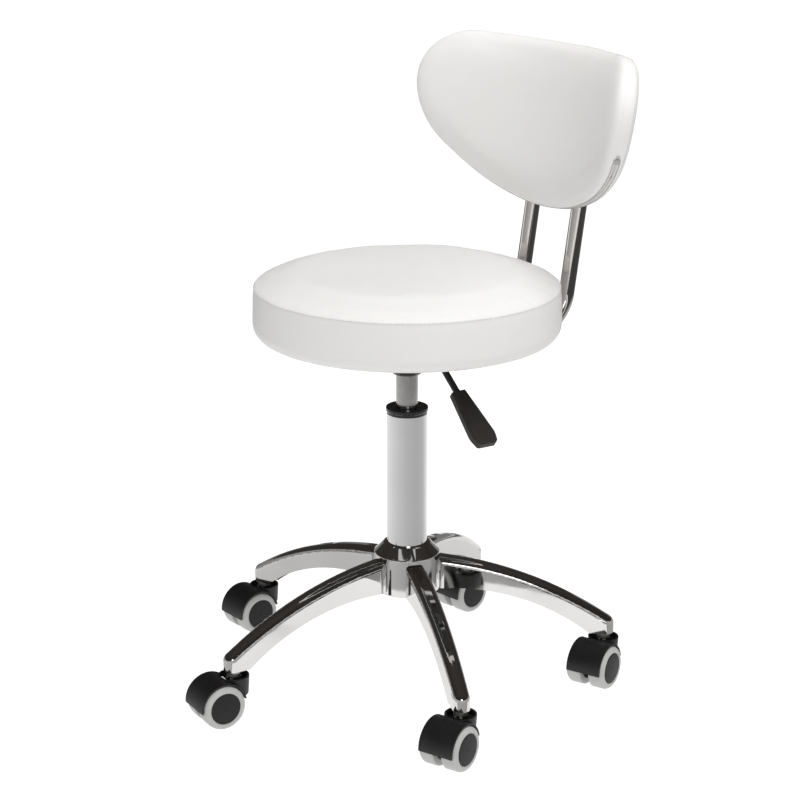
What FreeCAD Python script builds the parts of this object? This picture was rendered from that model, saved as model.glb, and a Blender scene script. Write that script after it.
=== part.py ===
import FreeCAD, Part
import Sketcher
import math
import os
import re

# Rolling stylist stool: five-arm chromed base on twin-wheel casters, gas lift,
# round upholstered seat and a small curved backrest on two tubes.
# Frame: +Z up, origin on the floor under the column's axis. The sitter faces -Y.

Vector = FreeCAD.Vector
Rotation = FreeCAD.Rotation
Placement = FreeCAD.Placement

doc = FreeCAD.newDocument("stylist_stool")

# ---------------------------------------------------------------- driving sizes, mm and degrees

SIZES = {
    # casters
    "wheel_radius": 27.1, "wheel_inner": 4.2, "wheel_outer": 26.3, "disc_radius": 19.4,
    "tread_round": 6.0, "axle_radius": 3.0, "axle_half": 23.0, "running_gap": 0.05,
    "caster_trail": 23.8, "hood_radius": 29.9, "hood_half_width": 22.8, "hood_clearance": 28.1,
    "hood_web": 6.4, "hood_front_cut": 35.0, "hood_rear_cut": 25.0, "boss_radius": 8.5,
    "cup_radius": 19.0, "cup_inner": 16.6, "cup_top": 56.6, "cup_floor": 50.0, "cup_bottom": 33.0,
    "stem_radius": 5.5, "stem_bottom": 37.0, "flange_bottom": 54.2, "flange_top": 55.8,
    "flange_radius": 8.6, "stem_top": 73.0, "ring_groove": 68.0, "ring_height": 1.6,
    "groove_radius": 4.9,
    # caster sockets in the arm tips
    "socket_bottom": 56.1, "socket_top": 75.0, "socket_radius": 8.0, "socket_bore": 5.58,
    "socket_flange": 10.0, "socket_flange_bottom": 61.4,
    # base
    "stem_circle": 247.1, "arm_root": 38.0, "arm_tip": 259.5,
    "arm_root_top": 161.0, "arm_tip_top": 80.0, "arm_top_radius": 457.0,
    "arm_root_bottom": 120.0, "arm_foot": 63.0, "arm_foot_start": 230.0,
    "arm_bottom_radius": 270.0, "arm_root_half": 13.5, "arm_tip_half": 10.3,
    "arm_edge_round": 9.0, "arm_wall": 1.8,
    "hub_radius": 41.0, "hub_bottom": 117.0, "hub_shoulder": 166.5, "hub_top": 178.5,
    "hub_neck": 29.5, "hub_edge_round": 2.0,
    # column and gas lift
    "column_radius": 25.0, "column_bore": 23.4, "column_bottom": 112.0, "column_floor": 4.0,
    "column_top": 345.7, "bush_radius": 26.0, "bush_top": 353.4, "bush_bottom": 288.0,
    "bush_recess": 2.6, "lift_radius": 13.5, "lift_top_radius": 12.8, "lift_wall": 2.0,
    "lift_bottom": 172.0, "lift_taper_start": 396.0, "lift_top": 422.0, "lift_cap": 12.0,
    "rod_radius": 5.0, "rod_bottom": 105.0, "rod_top": 302.0, "piston_height": 10.0,
    "bearing_radius": 12.0, "bearing_height": 6.0, "bump_radius": 10.0, "bump_height": 16.0,
    "axial_gap": 0.3, "clip_radius": 8.0, "clip_height": 1.5, "clip_groove": 4.5,
    "button_radius": 3.0, "button_head": 4.5, "button_lift": 4.0, "button_height": 3.5,
    # seat mechanism
    "plate_length": 170.0, "plate_width": 150.0, "plate_thick": 3.0, "plate_top": 447.5,
    "housing_front": -30.0, "housing_rear": 33.0, "housing_half": 23.0, "housing_bottom": 416.0,
    "housing_wall": 3.0, "boss_outer": 20.5, "boss_bottom": 396.0,
    "bolt_pitch_x": 134.0, "bolt_pitch_y": 140.0,
    "lever_height": 434.0, "lever_pivot": 25.0, "lever_inner": -5.0, "lever_bar": 8.0,
    "lever_bar_end": 37.0, "lever_slot": 9.6, "lever_rod_radius": 4.0, "lever_bend": 55.7,
    "lever_bend_radius": 16.0, "lever_slope": 36.5, "lever_rod_reach": 78.0,
    "pin_radius": 2.0,
    "handle_start": 56.2, "handle_length": 78.0, "handle_neck": 20.0, "handle_wide": 33.5,
    "handle_wide_at": 64.0, "handle_end": 26.0, "handle_thick": 12.0, "handle_bevel": 2.6,
    # seat
    "seat_radius": 187.5, "seat_bottom": 447.5, "seat_bottom_round": 18.0, "hem_bottom": 444.5,
    "hem_inner": 168.0, "seam_radius": 183.0,
    "seam_height": 508.0, "shoulder_radius": 167.0, "shoulder_height": 521.5, "seat_top": 526.5,
    "board_radius": 165.0, "board_bottom": 448.3, "board_thick": 12.0, "dust_radius": 160.0,
    # backrest
    "tube_radius": 9.5, "tube_wall": 1.3, "tube_spacing": 94.0, "tube_front": 30.0,
    "tube_height": 435.0, "tube_bend_start": 154.0, "tube_bend_radius": 50.0, "tube_lean": 8.5,
    "tube_rise": 220.0, "clamp_thick": 2.5, "clamp_first": 45.0, "clamp_second": 68.0,
    "clamp_width": 14.0, "screw_low": 150.0, "screw_high": 200.0,
    "back_front": 175.0, "back_bottom": 586.0, "back_lean": 10.5, "back_half": 208.0,
    "back_height": 199.0, "back_crown": 3.5, "back_corner": 64.0, "back_side_height": 130.0,
    "back_side_radius": 95.0, "back_curve": 340.0, "back_thick": 36.0, "back_rim": 9.0,
    "back_board_depth": 21.0, "back_board_thick": 9.0, "back_board_inset": 16.0,
    # fasteners
    "bolt_radius": 3.0, "bolt_head": 5.5, "bolt_head_height": 3.5, "plate_bolt": 13.0,
    "back_bolt": 33.5,
}

# Arm directions and the way each caster's axle points, degrees about +Z.
CASTERS = {1: (270.0, -0.65), 2: (342.0, 23.15), 3: (54.0, 24.65), 4: (126.0, 11.65), 5: (198.0, 6.65)}

sheet = doc.addObject("Spreadsheet::Sheet", "Sizes")
for row, (alias, number) in enumerate(SIZES.items(), start=1):
    sheet.set("A%d" % row, alias)
    sheet.set("B%d" % row, str(number))
    sheet.setAlias("B%d" % row, alias)
doc.recompute()


def bound(expression):
    """The expression with each alias written as a cell of the sheet."""
    return re.sub(r"[a-z_]+", lambda m: "Sizes." + m[0] if m[0] in SIZES else m[0], str(expression))


def value(expression):
    """The expression's present value."""
    return float(sheet.evalExpression(bound(expression)))


# ---------------------------------------------------------------- helpers

def new_body(label):
    body = doc.addObject("PartDesign::Body", label)
    body.Label = label
    return body


def bind(sketch, kind, geometry, point, expression):
    index = sketch.addConstraint(Sketcher.Constraint(kind, geometry, point, value(expression)))
    sketch.setExpression("Constraints[%d]" % index, bound(expression))


def bind_radius(sketch, geometry, expression):
    index = sketch.addConstraint(Sketcher.Constraint("Radius", geometry, value(expression)))
    sketch.setExpression("Constraints[%d]" % index, bound(expression))


def arc_through(start, end, radius, left):
    """The minor arc from start to end; its centre lies left or right of the way."""
    chord = end - start
    middle = (start + end) * 0.5
    side = Vector(-chord.y, chord.x, 0).normalize() * (1 if left else -1)
    centre = middle + side * math.sqrt(max(radius ** 2 - chord.Length ** 2 / 4, 0))
    a = math.atan2(start.y - centre.y, start.x - centre.x)
    b = math.atan2(end.y - centre.y, end.x - centre.x)
    if not left:
        a, b = b, a
    circle = Part.Circle(centre, Vector(0, 0, 1), radius)
    return Part.ArcOfCircle(circle, a, b if b > a else b + 2 * math.pi)


def add_outline(sketch, points, closed=True):
    """Lines and arcs through points (x, y) or (x, y, radius, "left" or "right") to the next."""
    spots = [Vector(value(p[0]), value(p[1]), 0) for p in points]
    count = len(points) if closed else len(points) - 1
    ends = []
    for i in range(count):
        start, end = spots[i], spots[(i + 1) % len(points)]
        if len(points[i]) > 2:
            left = points[i][3] == "left"
            index = sketch.addGeometry(arc_through(start, end, value(points[i][2]), left))
            bind_radius(sketch, index, points[i][2])
            ends.append((index, 1, 2) if left else (index, 2, 1))
        else:
            ends.append((sketch.addGeometry(Part.LineSegment(start, end)), 1, 2))
    for i, (index, first, last) in enumerate(ends):
        bind(sketch, "DistanceX", index, first, points[i][0])
        bind(sketch, "DistanceY", index, first, points[i][1])
        if i + 1 < count or closed:
            following = ends[(i + 1) % count]
            sketch.addConstraint(Sketcher.Constraint("Coincident", index, last, following[0], following[1]))
        else:
            bind(sketch, "DistanceX", index, last, points[i + 1][0])
            bind(sketch, "DistanceY", index, last, points[i + 1][1])


def add_circle(sketch, x, y, radius):
    index = sketch.addGeometry(Part.Circle(Vector(value(x), value(y), 0), Vector(0, 0, 1), value(radius)))
    bind_radius(sketch, index, radius)
    bind(sketch, "DistanceX", index, 3, x)
    bind(sketch, "DistanceY", index, 3, y)


def new_sketch(body, plane, offset="0", outlines=(), circles=(), path=None):
    sketch = body.newObject("Sketcher::SketchObject", body.Name + "_sketch")
    support = [o for o in body.Origin.OriginFeatures if o.Role == plane][0]
    sketch.AttachmentSupport = [(support, "")]
    sketch.MapMode = "FlatFace"
    if str(offset) != "0":
        sketch.setExpression(".AttachmentOffset.Base.z", bound(offset))
    for points in outlines:
        add_outline(sketch, points)
    for circle in circles:
        add_circle(sketch, *circle)
    if path:
        add_outline(sketch, path, closed=False)
    return sketch


def pad(body, sketch, length, midplane=False, pocket=False):
    feature = body.newObject("PartDesign::" + ("Pocket" if pocket else "Pad"), body.Name + "_pad")
    feature.Profile = sketch
    feature.setExpression("Length", bound(length))
    if midplane:
        feature.Midplane = True
    return feature


def pocket(body, sketch, length):
    """Cut the sketch's region out, half of the length to each side of its plane."""
    return pad(body, sketch, length, midplane=True, pocket=True)


def turned(body, points, cut=False):
    """A solid or a groove turned about the body's Z axis from (radius, height) points."""
    sketch = new_sketch(body, "XZ_Plane", outlines=[points])
    feature = body.newObject("PartDesign::" + ("Groove" if cut else "Revolution"), body.Name + "_turned")
    feature.Profile = sketch
    feature.ReferenceAxis = (sketch, ["V_Axis"])
    feature.Angle = 360
    return feature


def dome(radius, rise):
    """Radius of the arc that rises to the axis and is level there."""
    return "((%s) ^ 2 + (%s) ^ 2) / (2 * (%s))" % (radius, rise, rise)


def turned_body(label, points):
    body = new_body(label)
    turned(body, points)
    return body


def cut_from(label, base, tools):
    """A sub-part made by taking the tools' shapes out of a base shape."""
    for tool in tools:
        result = doc.addObject("Part::Cut", label + "_cut")
        result.Base = base
        result.Tool = tool
        base = result
    base.Label = label
    return base


def group(label, members):
    result = doc.addObject("Part::Compound", label)
    result.Links = members
    result.Label = label
    return result


def place(thing, position, rotation=None):
    thing.Placement = Placement(Vector(*position), rotation or Rotation())
    return thing


def about_z(degrees):
    return Rotation(Vector(0, 0, 1), degrees)


def fillet(body, feature, edges, radius):
    rounded = body.newObject("PartDesign::Fillet", body.Name + "_fillet")
    rounded.Base = (feature, edges)
    rounded.setExpression("Radius", bound(radius))
    return rounded


def edges_where(shape, test):
    return ["Edge%d" % (i + 1) for i, edge in enumerate(shape.Edges) if test(edge)]


parts = []


def keep(thing):
    parts.append(thing)
    return thing


# ---------------------------------------------------------------- casters
# Each caster is drawn in its own frame: Z up the stem, X the way it trails, Y along its axle.

def make_stem(label):
    """Stem with its flange, and the split ring that grips the socket as a second solid."""
    stem = turned_body(label + "_shank", [
        ("0", "stem_bottom"), ("stem_radius", "stem_bottom"), ("stem_radius", "flange_bottom"),
        ("flange_radius", "flange_bottom"), ("flange_radius", "flange_top"),
        ("stem_radius", "flange_top"), ("stem_radius", "ring_groove - ring_height"),
        ("groove_radius", "ring_groove - ring_height"), ("groove_radius", "ring_groove"),
        ("stem_radius", "ring_groove"), ("stem_radius", "stem_top - 1.5"),
        ("stem_radius - 1.5", "stem_top"), ("0", "stem_top")])
    ring = turned_body(label + "_ring", [
        ("groove_radius", "ring_groove - ring_height"), ("stem_radius", "ring_groove - ring_height"),
        ("stem_radius", "ring_groove"), ("groove_radius", "ring_groove")])
    return group(label, [stem, ring])


def make_hood(label):
    """Moulded hood: part of a drum round the wheels, a cup on top, and a web with the axle boss."""
    body = new_body(label)
    wheel = ("caster_trail", "wheel_radius")
    pad(body, new_sketch(body, "XZ_Plane", circles=[wheel + ("hood_radius",)]), "2 * hood_half_width", True)
    turned(body, [("0", "cup_bottom"), ("cup_radius - 1.2", "cup_bottom"), ("cup_radius", "cup_top - 2"),
                  ("cup_radius", "cup_top"), ("0", "cup_top")])
    pocket(body, new_sketch(body, "XZ_Plane", circles=[wheel + ("hood_clearance",)]), "4 * cup_radius")
    pad(body, new_sketch(body, "XZ_Plane", circles=[wheel + ("hood_clearance + 0.6",)]), "hood_web", True)
    below = [("-40", "-40"), ("90", "-40"), ("90", "hood_rear_cut - 9"),
             ("caster_trail + hood_radius", "hood_rear_cut"), ("-cup_radius", "hood_front_cut"),
             ("-40", "hood_front_cut + 6")]
    pocket(body, new_sketch(body, "XZ_Plane", outlines=[below]), "4 * cup_radius")
    pad(body, new_sketch(body, "XZ_Plane", circles=[wheel + ("boss_radius",)]), "hood_web", True)
    turned(body, [("boss_radius", "cup_floor"), ("cup_inner", "cup_floor"), ("cup_inner", "cup_top + 1"),
                  ("0", "cup_top + 1"), ("0", "flange_bottom"), ("boss_radius", "flange_bottom")], cut=True)
    turned(body, [("0", "stem_bottom"), ("stem_radius", "stem_bottom"), ("stem_radius", "cup_top"),
                  ("0", "cup_top")], cut=True)
    pocket(body, new_sketch(body, "XZ_Plane", circles=[wheel + ("axle_radius",)]), "2 * hood_web")
    return body


def make_wheel(label):
    """Wheel disc, its own Z axis pointing outwards from the middle of the caster."""
    bore = "axle_radius + running_gap"
    return turned_body(label, [
        (bore, "wheel_inner"), ("7", "wheel_inner"), ("7.5", "15"), ("disc_radius - 2.4", "15"),
        ("disc_radius - 2", "wheel_inner + 1.4"), ("disc_radius", "wheel_inner + 1.4"),
        ("disc_radius", "wheel_outer - 0.9"), ("disc_radius - 0.8", "wheel_outer - 0.2"),
        ("disc_radius - 4", "wheel_outer", dome("disc_radius - 4", "0.5"), "left"), ("0", "wheel_outer + 0.5"),
        ("0", "axle_half + 0.3"), (bore, "axle_half + 0.3")])


def make_tread(label):
    """Soft tread round the disc, rounded at both shoulders."""
    return turned_body(label, [
        ("disc_radius", "wheel_inner + 1.4"), ("wheel_radius - 2", "wheel_inner + 1.4", "2", "left"),
        ("wheel_radius", "wheel_inner + 3.4"), ("wheel_radius", "wheel_outer - tread_round", "tread_round", "left"),
        ("wheel_radius - tread_round", "wheel_outer"), ("disc_radius + 1", "wheel_outer - 0.4"),
        ("disc_radius", "wheel_outer - 0.9")])


def make_caster(number, arm_angle, axle_angle):
    name = "caster_%d_" % number
    arm = math.radians(arm_angle)
    reach = value("stem_circle")
    stem_at = Vector(reach * math.cos(arm), reach * math.sin(arm), 0)
    turn = about_z(axle_angle - 90)
    trail = turn.multVec(Vector(value("caster_trail"), 0, 0))
    centre = stem_at + trail + Vector(0, 0, value("wheel_radius"))
    axle_way = turn.multVec(Vector(0, 1, 0))
    keep(place(make_stem(name + "stem"), stem_at, turn))
    keep(place(make_hood(name + "hood"), stem_at, turn))
    along = Rotation(Vector(0, 0, 1), axle_way)
    axle = turned_body(name + "axle", [("0", "-axle_half"), ("axle_radius", "-axle_half"),
                                       ("axle_radius", "axle_half"), ("0", "axle_half")])
    keep(place(axle, centre, along))
    for side, way in (("left", axle_way), ("right", axle_way * -1)):
        outward = Rotation(Vector(0, 0, 1), way)
        keep(place(make_wheel(name + "wheel_" + side), centre, outward))
        keep(place(make_tread(name + "tread_" + side), centre, outward))


for number, (arm_angle, axle_angle) in CASTERS.items():
    make_caster(number, arm_angle, axle_angle)


# ---------------------------------------------------------------- base

def make_arm_solid(label, inset, turn):
    """Arched bar with a tapered plan and round top edges, smaller all round by the inset."""
    body = new_body(label)
    hollow = inset != "0"
    if hollow:
        lower = [("arm_root - 6", "20"), ("arm_tip - " + inset, "20")]
    else:
        lower = [("arm_root", "arm_root_bottom", "arm_bottom_radius", "right"),
                 ("arm_foot_start", "arm_foot"), ("arm_tip", "arm_foot")]
    upper = [("arm_tip - " + inset, "arm_tip_top - " + inset, "arm_top_radius", "left"),
             ("arm_root", "arm_root_top - " + inset)]
    if hollow:
        upper.append(("arm_root - 6", "arm_root_top - " + inset))
    profile = new_sketch(body, "XZ_Plane", outlines=[lower + upper])
    pad(body, profile, "2 * arm_root_half - 2 * " + inset, True)
    root_half = "arm_root_half - " + inset
    tip_half = "arm_tip_half - " + inset
    straight = "arm_tip - arm_tip_half"
    outside = [("arm_root - 15", "-40"), ("arm_tip + 20", "-40"), ("arm_tip + 20", "40"), ("arm_root - 15", "40")]
    inside = [("arm_root - 8", "-(%s)" % root_half), (straight, "-(%s)" % tip_half, tip_half, "left"),
              ("arm_tip - " + inset, "0", tip_half, "left"), (straight, tip_half),
              ("arm_root - 8", root_half)]
    sides = pocket(body, new_sketch(body, "XY_Plane", outlines=[outside, inside]), "500")
    doc.recompute()
    lowest = value("arm_tip_top") - 4

    def on_top_rim(edge):
        middle = edge.valueAt((edge.FirstParameter + edge.LastParameter) / 2)
        return min(v.Point.z for v in edge.Vertexes) > lowest and abs(middle.y) > 1
    fillet(body, sides, edges_where(sides.Shape, on_top_rim), "arm_edge_round - " + inset)
    return place(body, (0, 0, 0), turn)


def make_arms(label):
    """Five pressed channels, open underneath, trimmed to the round of the hub."""
    core = doc.addObject("Part::Cylinder", "hub_core")
    core.setExpression("Radius", bound("hub_radius"))
    core.Height = 300
    arms = []
    for arm_angle, _ in CASTERS.values():
        turn = about_z(arm_angle)
        outer = make_arm_solid("arm_outside", "0", turn)
        inner = make_arm_solid("arm_inside", "arm_wall", turn)
        arms.append(cut_from("arm_channel", outer, [inner, core]))
    return group(label, arms)


def make_sockets(label):
    """Five sleeves with a flange that closes each arm's foot."""
    sockets = []
    for arm_angle, _ in CASTERS.values():
        arm = math.radians(arm_angle)
        reach = value("stem_circle")
        socket = turned_body("socket", [
            ("socket_bore", "socket_bottom + 0.6"), ("socket_bore + 0.6", "socket_bottom"),
            ("socket_radius", "socket_bottom"), ("socket_radius", "socket_flange_bottom"),
            ("socket_flange", "socket_flange_bottom"), ("socket_flange", "arm_foot"),
            ("socket_radius", "arm_foot"), ("socket_radius", "socket_top"), ("socket_bore", "socket_top")])
        sockets.append(place(socket, (reach * math.cos(arm), reach * math.sin(arm), 0)))
    return group(label, sockets)


keep(make_arms("base_arms"))
keep(make_sockets("caster_sockets"))
keep(turned_body("base_hub", [
    ("column_radius", "hub_bottom"), ("hub_radius - 2", "hub_bottom", "2", "left"),
    ("hub_radius", "hub_bottom + 2"), ("hub_radius", "hub_shoulder - hub_edge_round", "hub_edge_round", "left"),
    ("hub_radius - 0.8", "hub_shoulder"), ("hub_neck", "hub_top - 1"), ("hub_neck - 1.5", "hub_top"),
    ("column_radius", "hub_top")]))

# ---------------------------------------------------------------- column and gas lift

keep(turned_body("column_tube", [
    ("rod_radius + running_gap", "column_bottom"), ("column_radius - 1", "column_bottom"),
    ("column_radius", "column_bottom + 1"), ("column_radius", "column_top - 0.6"),
    ("column_radius - 0.6", "column_top"), ("column_bore", "column_top"),
    ("column_bore", "column_bottom + column_floor"), ("rod_radius + running_gap", "column_bottom + column_floor")]))
bush_bore = "lift_radius + running_gap"
keep(turned_body("guide_bush", [
    (bush_bore, "bush_bottom"), ("column_bore", "bush_bottom"), ("column_bore", "column_top"),
    ("column_radius - 0.2", "column_top"), ("column_radius + 0.1", "column_top + 2.5"),
    ("bush_radius", "bush_top - 4"), ("bush_radius", "bush_top - 1", "1", "left"),
    ("bush_radius - 1", "bush_top"), ("lift_radius + 3.6", "bush_top"),
    ("lift_radius + 3", "bush_top - 0.6"), ("lift_radius + 0.8", "bush_top - bush_recess"),
    (bush_bore, "bush_top - bush_recess")]))
floor_top = "column_bottom + column_floor"
keep(turned_body("thrust_bearing", [
    ("rod_radius + running_gap", floor_top), ("bearing_radius", floor_top),
    ("bearing_radius", floor_top + " + 1.8"), ("bearing_radius - 1.5", floor_top + " + 2.2"),
    ("bearing_radius - 1.5", floor_top + " + 3.8"), ("bearing_radius", floor_top + " + 4.2"),
    ("bearing_radius", floor_top + " + bearing_height"), ("rod_radius + running_gap", floor_top + " + bearing_height")]))
bump_foot = floor_top + " + bearing_height + axial_gap"
keep(turned_body("bump_stop", [
    ("rod_radius", bump_foot), ("bump_radius", bump_foot), ("bump_radius", bump_foot + " + 6"),
    ("bump_radius - 2", bump_foot + " + 8"), ("bump_radius", bump_foot + " + 10"),
    ("bump_radius", bump_foot + " + bump_height"), ("rod_radius", bump_foot + " + bump_height")]))
clip_top = "column_bottom - axial_gap"
keep(turned_body("piston_rod", [
    ("0", "rod_bottom"), ("rod_radius - 1", "rod_bottom"), ("rod_radius", "rod_bottom + 1"),
    ("rod_radius", clip_top + " - clip_height"), ("clip_groove", clip_top + " - clip_height"),
    ("clip_groove", clip_top), ("rod_radius", clip_top), ("rod_radius", "rod_top - piston_height"),
    ("lift_radius - lift_wall - running_gap", "rod_top - piston_height"),
    ("lift_radius - lift_wall - running_gap", "rod_top"), ("0", "rod_top")]))
keep(turned_body("retaining_clip", [
    ("clip_groove", clip_top + " - clip_height"), ("clip_radius", clip_top + " - clip_height"),
    ("clip_radius", clip_top), ("clip_groove", clip_top)]))
lift_bore = "lift_radius - lift_wall"
keep(turned_body("pressure_tube", [
    ("rod_radius + running_gap", "lift_bottom"), ("lift_radius - 1", "lift_bottom"),
    ("lift_radius", "lift_bottom + 1"), ("lift_radius", "lift_taper_start"), ("lift_top_radius", "lift_top"),
    ("button_radius + running_gap", "lift_top"), ("button_radius + running_gap", "lift_top - lift_cap"),
    (lift_bore, "lift_top - lift_cap"), (lift_bore, "lift_bottom + lift_cap"),
    ("rod_radius + running_gap", "lift_bottom + lift_cap")]))
button_under = "lift_top + button_lift"
keep(turned_body("release_button", [
    ("0", "lift_top - lift_cap - 4"), ("button_radius", "lift_top - lift_cap - 4"), ("button_radius", button_under),
    ("button_head", button_under),
    ("button_head", button_under + " + button_height - 1.5", dome("button_head", "1.5"), "left"),
    ("0", button_under + " + button_height")]))

# ---------------------------------------------------------------- fasteners of the seat assembly

def make_bolt(label, length):
    """Pan-head bolt: the head's seat is at its origin and the shank runs down its -Z."""
    return turned_body(label, [
        ("0", "-(%s)" % length), ("bolt_radius - 0.8", "-(%s)" % length), ("bolt_radius", "0.8 - (%s)" % length),
        ("bolt_radius", "0"), ("bolt_head", "0"), ("bolt_head", "bolt_head_height - 1.4"),
        ("bolt_head - 1.6", "bolt_head_height"), ("1.7", "bolt_head_height"),
        ("1.7", "bolt_head_height - 2"), ("0", "bolt_head_height - 2")])


def make_plate_bolts(label):
    upside_down = Rotation(Vector(1, 0, 0), 180)
    under = value("plate_top - plate_thick")
    bolts = []
    for x in (-0.5, 0.5):
        for y in (-0.5, 0.5):
            spot = (x * value("bolt_pitch_x"), y * value("bolt_pitch_y"), under)
            bolts.append(place(make_bolt("plate_bolt", "plate_bolt"), spot, upside_down))
    return group(label, bolts)


def tube_point(distance, outward):
    """A point at a distance up the leaning part of a tube and outward behind its centre line."""
    lean = math.radians(value("tube_lean"))
    bend = value("tube_bend_radius")
    y = value("tube_bend_start") + bend * math.cos(lean) + distance * math.sin(lean)
    z = value("tube_height") + bend - bend * math.sin(lean) + distance * math.cos(lean)
    return y + outward * math.cos(lean), z - outward * math.sin(lean)


def make_back_screws(label):
    facing_back = Rotation(Vector(1, 0, 0), -90 - value("tube_lean"))
    bolts = []
    for side in (-0.5, 0.5):
        for distance in ("screw_low", "screw_high"):
            y, z = tube_point(value(distance), value("tube_radius"))
            spot = (side * value("tube_spacing"), y, z)
            bolts.append(place(make_bolt("back_screw", "back_bolt"), spot, facing_back))
    return group(label, bolts)


plate_bolts = keep(make_plate_bolts("plate_bolts"))
back_screws = keep(make_back_screws("backrest_screws"))

# ---------------------------------------------------------------- seat mechanism

def make_seat_plate(label):
    """Plate, open housing for the lever, and the socket that the gas lift's taper wedges into."""
    body = new_body(label + "_pressing")
    plate = [("-plate_width / 2", "-plate_length / 2"), ("plate_width / 2", "-plate_length / 2"),
             ("plate_width / 2", "plate_length / 2"), ("-plate_width / 2", "plate_length / 2")]
    under = "plate_top - plate_thick"
    pad(body, new_sketch(body, "XY_Plane", under, outlines=[plate]), "plate_thick")
    doc.recompute()
    corners = edges_where(body.Shape, lambda e: abs(e.tangentAt(e.FirstParameter).z) > 0.99)
    fillet(body, body.Tip, corners, "14")
    box = [("housing_front", "-housing_half"), ("housing_rear", "-housing_half"),
           ("housing_rear", "housing_half"), ("housing_front", "housing_half")]
    inner = [("housing_front + housing_wall", "-housing_half + housing_wall"),
             ("housing_rear - housing_wall", "-housing_half + housing_wall"),
             ("housing_rear - housing_wall", "housing_half - housing_wall"),
             ("housing_front + housing_wall", "housing_half - housing_wall")]
    depth = "%s - housing_bottom" % under
    pad(body, new_sketch(body, "XY_Plane", "housing_bottom", outlines=[box, inner]), depth)
    pad(body, new_sketch(body, "XY_Plane", "housing_bottom", outlines=[box]), "housing_wall")
    turned(body, [("0", "boss_bottom"), ("boss_outer - 3", "boss_bottom"), ("boss_outer", "boss_bottom + 3"),
                  ("boss_outer", "housing_bottom"), ("0", "housing_bottom")])
    turned(body, [("0", "boss_bottom"), ("lift_radius", "boss_bottom"), ("lift_top_radius", "lift_top"),
                  ("0", "lift_top")], cut=True)
    slot = [("-lever_slot / 2", "lever_height - lever_slot / 2"), ("lever_slot / 2", "lever_height - lever_slot / 2"),
            ("lever_slot / 2", "%s" % under), ("-lever_slot / 2", "%s" % under)]
    side_cut = body.newObject("PartDesign::Pocket", label + "_slot")
    side_cut.Profile = new_sketch(body, "YZ_Plane", "housing_rear + 2", outlines=[slot])
    side_cut.setExpression("Length", bound("housing_wall + 4"))
    pocket(body, new_sketch(body, "XZ_Plane", circles=[("lever_pivot", "lever_height", "pin_radius")]),
           "2 * housing_half + 4")
    return body


def make_lever_rod(label):
    """Square inner bar over the release button, then a round rod that bends down to the handle."""
    body = new_body(label)
    bar = [("lever_inner", "lever_height - lever_bar / 2"), ("lever_bar_end", "lever_height - lever_bar / 2"),
           ("lever_bar_end", "lever_height + lever_bar / 2"), ("lever_inner", "lever_height + lever_bar / 2")]
    pad(body, new_sketch(body, "XZ_Plane", outlines=[bar]), "lever_bar", True)
    pocket(body, new_sketch(body, "XZ_Plane", circles=[
        ("lever_pivot", "lever_height", "pin_radius + running_gap")]), "lever_bar + 4")
    r, a = "lever_bend_radius", "lever_slope"
    turn_end = ("lever_bend + %s * sin(%s)" % (r, a), "lever_height - %s * (1 - cos(%s))" % (r, a))
    far_end = (turn_end[0] + " + lever_rod_reach * cos(%s)" % a, turn_end[1] + " - lever_rod_reach * sin(%s)" % a)
    path = new_sketch(body, "XZ_Plane", path=[
        ("lever_bar_end - 6", "lever_height"), ("lever_bend", "lever_height", r, "right"), turn_end, far_end])
    section = new_sketch(body, "YZ_Plane", "lever_bar_end - 6", circles=[("0", "lever_height", "lever_rod_radius")])
    pipe = body.newObject("PartDesign::AdditivePipe", label + "_rod")
    pipe.Profile = section
    pipe.Spine = (path, ["Edge1", "Edge2", "Edge3"])
    return body


def lever_frame(along):
    """The place and turn of a frame whose X axis runs down the lever's sloping part."""
    slope = math.radians(value("lever_slope"))
    bend = value("lever_bend_radius")
    x = value("lever_bend") + bend * math.sin(slope) + along * math.cos(slope)
    z = value("lever_height") - bend * (1 - math.cos(slope)) - along * math.sin(slope)
    return (x, 0, z), Rotation(Vector(0, 1, 0), value("lever_slope"))


def make_handle(label):
    """Flat paddle that widens towards its end, with bevelled edges."""
    body = new_body(label)
    half_neck, half_wide, half_end = "handle_neck / 2", "handle_wide / 2", "handle_end / 2"
    outline = [("0", "-(%s)" % half_neck), ("handle_wide_at", "-(%s)" % half_wide),
               ("handle_length", "-(%s)" % half_end), ("handle_length", half_end),
               ("handle_wide_at", half_wide), ("0", half_neck)]
    blank = pad(body, new_sketch(body, "XY_Plane", outlines=[outline]), "handle_thick", True)
    doc.recompute()
    half = value("handle_thick") / 2
    rims = edges_where(blank.Shape, lambda e: all(abs(abs(v.Point.z) - half) < 0.01 for v in e.Vertexes))
    rims = [name for name in rims if not starts_at_neck(blank.Shape, name)]
    bevel = body.newObject("PartDesign::Chamfer", label + "_bevel")
    bevel.Base = (blank, rims)
    bevel.setExpression("Size", bound("handle_bevel"))
    position, turn = lever_frame(value("handle_start"))
    return place(body, position, turn)


def starts_at_neck(shape, name):
    edge = shape.Edges[int(name[4:]) - 1]
    return all(abs(v.Point.x) < 0.01 for v in edge.Vertexes)


keep(cut_from("seat_plate", make_seat_plate("seat_plate"), [plate_bolts]))
lever_rod = keep(make_lever_rod("lever_rod"))
keep(cut_from("lever_handle", make_handle("handle_paddle"), [lever_rod]))
pin = turned_body("lever_pin", [("0", "-housing_half - 0.5"), ("pin_radius", "-housing_half - 0.5"),
                                ("pin_radius", "housing_half + 0.5"), ("0", "housing_half + 0.5")])
keep(place(pin, (value("lever_pivot"), 0, value("lever_height")), Rotation(Vector(1, 0, 0), 90)))

# ---------------------------------------------------------------- seat

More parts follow.
